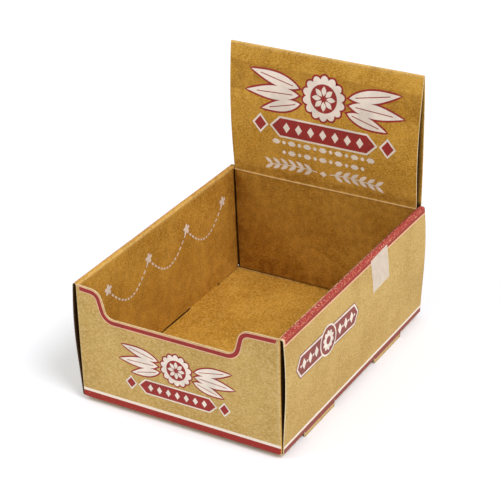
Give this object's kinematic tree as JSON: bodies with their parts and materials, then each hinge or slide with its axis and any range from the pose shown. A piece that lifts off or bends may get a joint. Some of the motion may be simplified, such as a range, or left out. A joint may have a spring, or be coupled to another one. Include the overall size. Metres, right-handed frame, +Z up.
{
  "type": "cardboard display box",
  "caption": "Folded kraft-board counter display box: open tray with rolled double side walls, dipped front panel and a tall folded header standing up from the back.",
  "frame": {"origin": "on the table, under the middle of the tray: the lower edges of the lock tongues stand on z = 0", "axes": "+Z up, the dipped front looks along -Y, the header stands at +Y, +X to the right seen from the front"},
  "size_m": [0.1247, 0.162, 0.1448],
  "materials": {
    "kraft_board": "matt unbleached kraft board with red and white print",
    "clear_tape": "thin cloudy film with a soft gloss"
  },
  "bodies": {
    "root": {"folded_board": "kraft_board", "tape": "clear_tape"}
  },
  "joints": []
}
